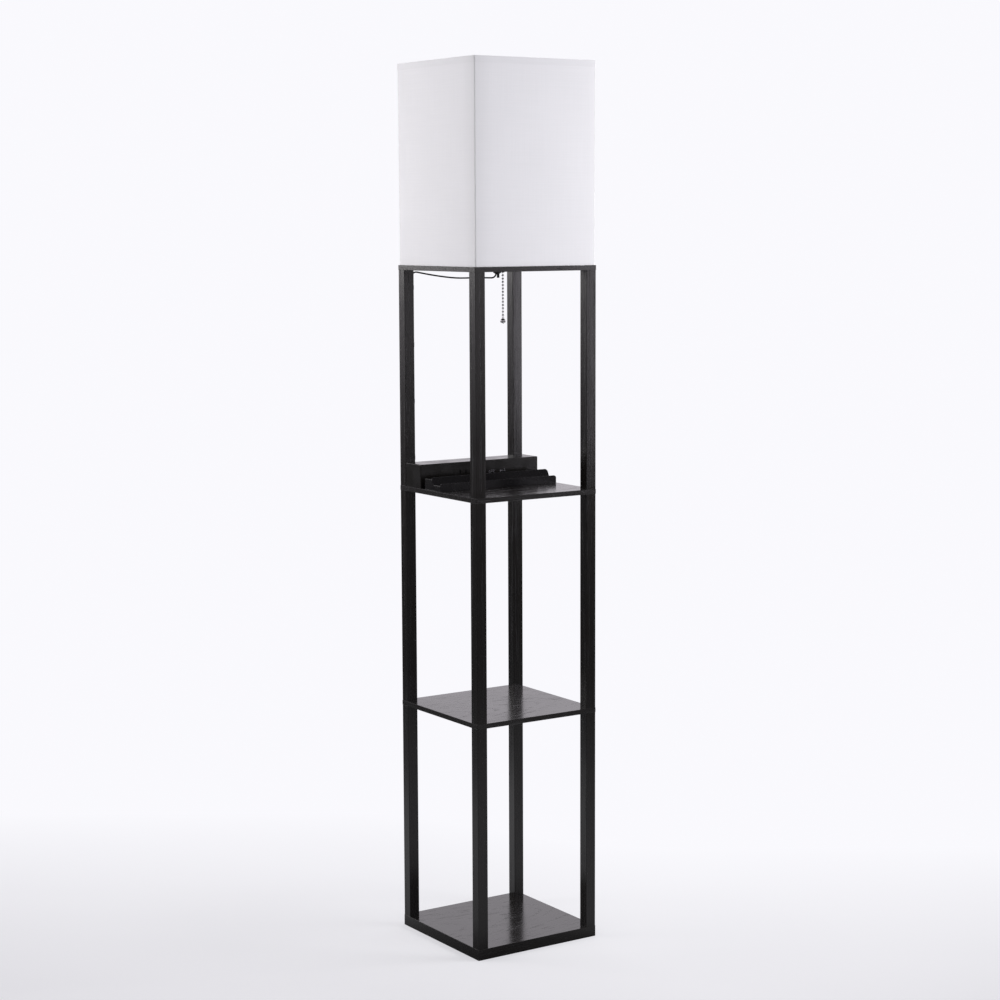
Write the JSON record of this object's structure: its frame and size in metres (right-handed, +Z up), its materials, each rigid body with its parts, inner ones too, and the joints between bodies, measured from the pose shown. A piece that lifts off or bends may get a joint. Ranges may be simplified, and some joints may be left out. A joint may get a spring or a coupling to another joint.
{
  "type": "shelf floor lamp",
  "caption": "Tall square floor lamp: open black shelves on slim posts, a white fabric shade on top, a bead pull chain, a charging box and a stepped device dock on the upper shelf.",
  "frame": {"origin": "on the floor, under the middle of the square base board", "axes": "+Z up along the posts, -Y towards the front, where the dock opens, +X to the right seen from the front"},
  "size_m": [0.26, 0.26, 1.61],
  "materials": {
    "black_ash": "satin, open grain",
    "plain_steel": "zinc plated",
    "black_steel": "black oxide",
    "holder_plastic": "fine matt",
    "socket_metal": "nickel",
    "white_insulator": "matt",
    "contact_brass": "bright",
    "bulb_glass": "frosted",
    "chain_chrome": "polished",
    "outlet_nickel": "polished",
    "shade_linen": "woven linen on a stiff backing",
    "white_wire": "satin white",
    "box_plastic": "fine matt",
    "dock_plastic": "fine matt",
    "usb_steel": "bright",
    "circuit_green": "lacquered",
    "terminal_plastic": "matt",
    "black_rubber": "matt"
  },
  "bodies": {
    "lamp": {"base_board": "black_ash", "lower_shelf": "black_ash", "upper_shelf": "black_ash", "top_board": "black_ash", "lower_post_front_left": "black_ash", "lower_post_front_right": "black_ash", "lower_post_back_left": "black_ash", "lower_post_back_right": "black_ash", "middle_post_front_left": "black_ash", "middle_post_front_right": "black_ash", "middle_post_back_left": "black_ash", "middle_post_back_right": "black_ash", "upper_post_front_left": "black_ash", "upper_post_front_right": "black_ash", "upper_post_back_left": "black_ash", "upper_post_back_right": "black_ash", "post_inserts": "plain_steel", "shelf_studs": "plain_steel", "base_bolts": "black_steel", "top_board_screws": "black_steel", "threaded_nipple": "black_steel", "lower_washer": "black_steel", "lock_nuts": "black_steel", "panel_screws": "black_steel", "holder_base": "holder_plastic", "shade_ring": "holder_plastic", "switch_cartridge": "holder_plastic", "lead_grip": "holder_plastic", "socket_shell": "socket_metal", "socket_liner": "white_insulator", "contact_disc": "white_insulator", "screw_shell": "contact_brass", "centre_contact": "contact_brass", "bulb_cap": "contact_brass", "bulb_globe": "bulb_glass", "chain_outlet": "outlet_nickel", "shade_cover": "shade_linen", "shade_bottom_hem": "shade_linen", "shade_top_hem": "shade_linen", "shade_top_ring": "white_wire", "shade_bottom_frame": "white_wire", "shade_corner_wires": "white_wire", "box_housing": "box_plastic", "box_plate": "box_plastic", "mains_socket": "box_plastic", "lead_clips": "box_plastic", "device_dock": "dock_plastic", "usb_sockets": "usb_steel", "circuit_board": "circuit_green", "lead_terminal": "terminal_plastic", "lead_bush": "black_rubber", "mains_bush": "black_rubber", "lamp_lead": "black_rubber"},
    "pull_chain_top": {"switch_plunger": "socket_metal", "outlet_chain": "chain_chrome"},
    "swivel_link": {"chain_link": "chain_chrome"},
    "pull_chain": {"hanging_chain": "chain_chrome", "chain_end_ball": "chain_chrome"}
  },
  "joints": [
    {"name": "chain_pull", "type": "slide", "parent": "lamp", "child": "pull_chain_top", "axis": [0, 0, -1], "range_m": [0, 0.008], "stiffness_N_per_m": 400, "springref_m": -0.004},
    {"name": "chain_swing_front_back", "type": "hinge", "parent": "pull_chain_top", "child": "swivel_link", "pos_m": [0.014, 0, 1.2282], "axis": [1, 0, 0], "range_deg": [-25, 25]},
    {"name": "chain_swing_side", "type": "hinge", "parent": "swivel_link", "child": "pull_chain", "pos_m": [0.014, 0, 1.2222], "axis": [0, 1, 0], "range_deg": [-25, 25]}
  ]
}
